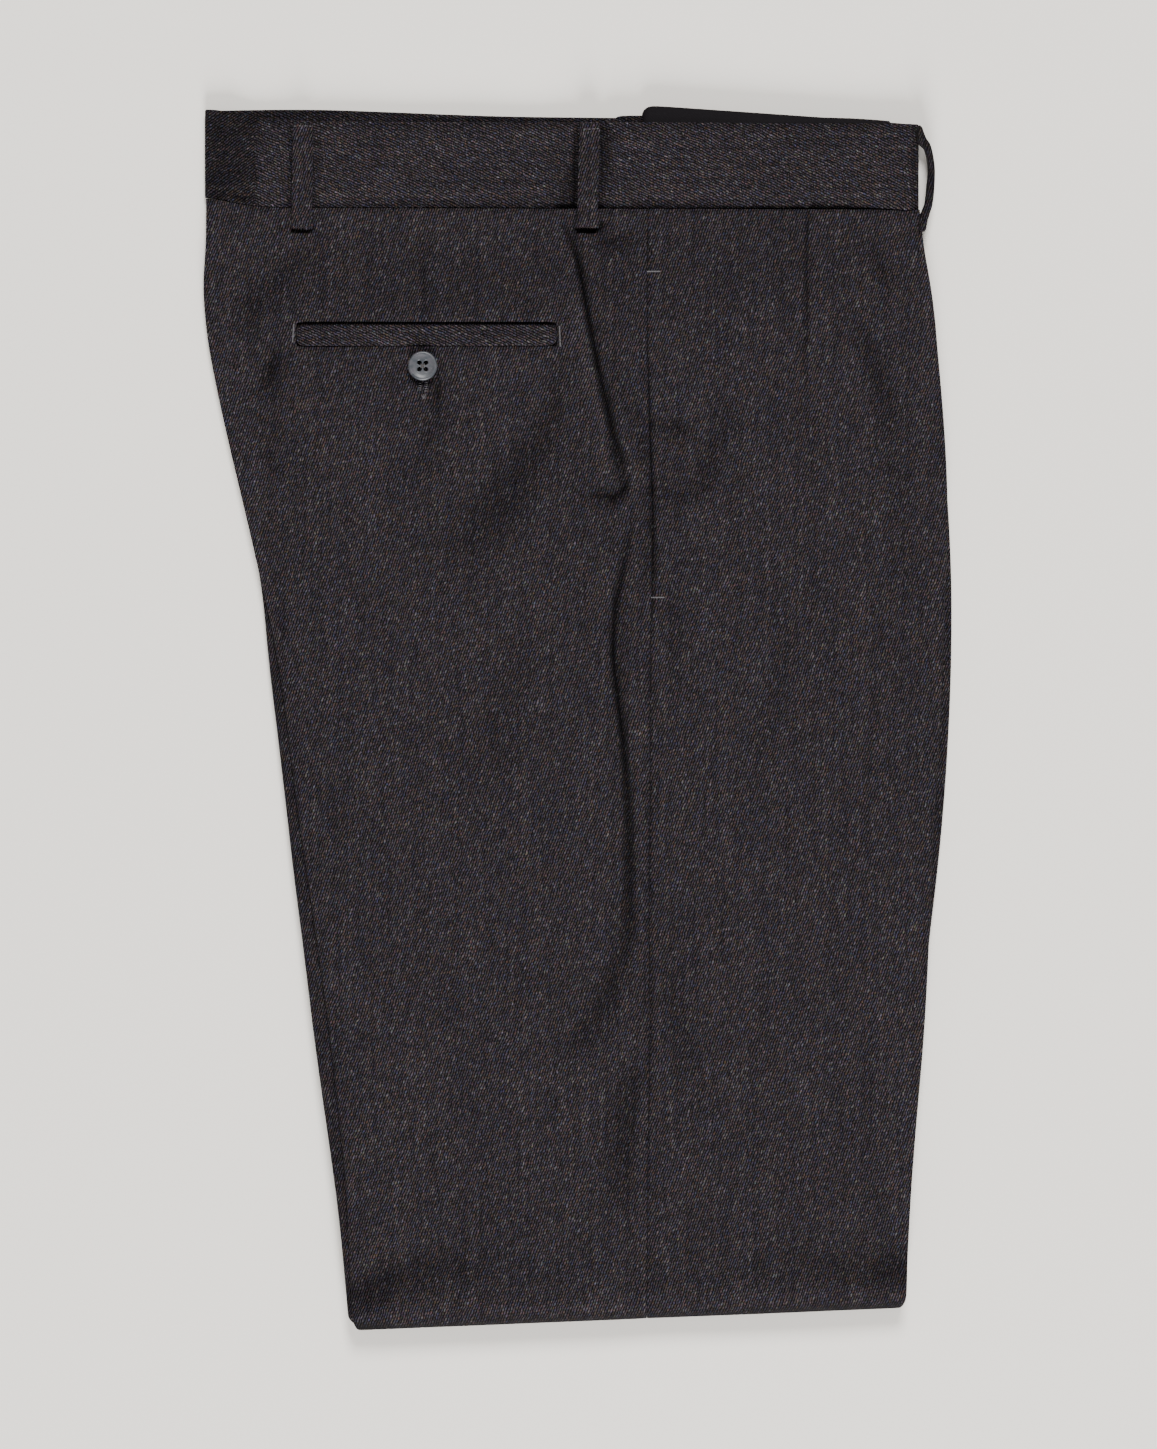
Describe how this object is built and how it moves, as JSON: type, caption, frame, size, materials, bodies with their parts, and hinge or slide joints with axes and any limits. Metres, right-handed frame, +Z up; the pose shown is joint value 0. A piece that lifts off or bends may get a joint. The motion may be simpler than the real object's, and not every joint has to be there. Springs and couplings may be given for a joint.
{
  "type": "pleated trousers, folded flat",
  "caption": "Charcoal wool dress trousers with front pleats, creased legs, waistband with belt loops and a buttoned welt pocket, lying flat and folded across at the knee.",
  "frame": {"origin": "middle of the bounding box, on the surface that the folded trousers lie on", "axes": "+X from the seat towards the front creases, +Y from the knee fold towards the waistband, +Z up from the surface they lie on"},
  "size_m": [0.3808, 0.6218, 0.0179],
  "materials": {
    "suiting": "wool twill, charcoal melange with a soft nap",
    "lining": "smooth black lining twill",
    "button": "grey resin, satin"
  },
  "bodies": {
    "root": {"back_panel": "suiting", "front_panel": "suiting", "folded_layers": "suiting", "waistband": "suiting", "under_waistband": "suiting", "extension_lining": "lining", "pocket_welt": "suiting", "pocket_button": "button", "belt_loop_back": "suiting", "belt_loop_side": "suiting", "belt_loop_front": "suiting"}
  },
  "joints": []
}
